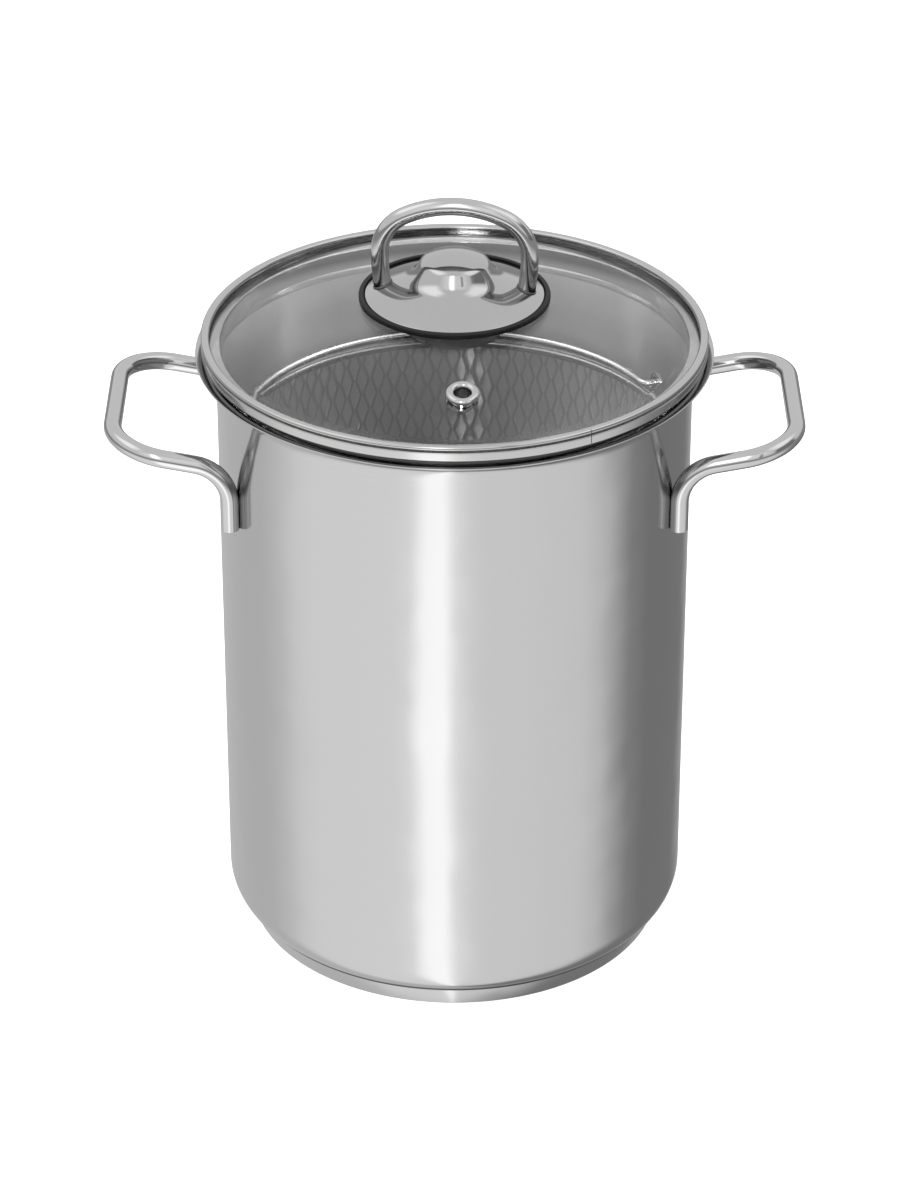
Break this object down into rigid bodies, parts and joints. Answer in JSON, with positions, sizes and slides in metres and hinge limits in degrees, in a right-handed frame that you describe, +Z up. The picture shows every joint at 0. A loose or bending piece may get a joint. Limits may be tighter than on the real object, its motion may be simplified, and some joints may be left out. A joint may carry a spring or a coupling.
{
  "type": "asparagus pot",
  "caption": "Tall narrow steel pot with rod handles, a lift-out expanded-metal basket with a folding bail, and a domed glass lid with a loop knob and steam vent, for cooking upright spears.",
  "frame": {"origin": "on the table under the middle of the pot", "axes": "+Z up along the pot's axis, X along the line of the side handles, -Y towards the viewer of the picture"},
  "size_m": [0.2358, 0.1746, 0.2731],
  "materials": {
    "polished_steel": "mirror polished stainless steel",
    "mesh_steel": "bright satin stainless steel",
    "core_aluminium": "plain rolled aluminium",
    "lid_glass": "clear tempered glass",
    "silicone": "matt black silicone"
  },
  "bodies": {
    "pot": {"pot_body": "polished_steel", "base_cap": "polished_steel", "base_core": "core_aluminium", "left_handle": "polished_steel", "right_handle": "polished_steel"},
    "basket": {"basket_wall": "mesh_steel", "basket_rim": "polished_steel", "basket_bottom_ring": "polished_steel", "basket_floor": "mesh_steel", "bail_lug_right": "polished_steel", "bail_lug_left": "polished_steel"},
    "bail": {"bail": "polished_steel"},
    "lid": {"lid_glass": "lid_glass", "lid_band": "polished_steel", "vent_eyelet": "polished_steel", "knob_gasket": "silicone", "knob_plate": "polished_steel", "knob_loop": "polished_steel", "knob_nut": "mesh_steel", "knob_screw": "polished_steel", "seal_washer": "silicone", "cup_washer": "polished_steel"}
  },
  "joints": [
    {"name": "basket_lift", "type": "slide", "parent": "pot", "child": "basket", "axis": [0, 0, 1], "range_m": [0, 0.26]},
    {"name": "lid_lift", "type": "slide", "parent": "basket", "child": "lid", "axis": [0, 0, 1], "range_m": [0, 0.12]},
    {"name": "bail_swing", "type": "hinge", "parent": "basket", "child": "bail", "pos_m": [0, 0, 0.18833], "axis": [0.9063, 0.4226, 0], "range_deg": [0, 180]}
  ],
  "couplings": [
    {"joint": "bail_swing", "follows": "lid_lift", "rad_per_m": 26.18}
  ]
}
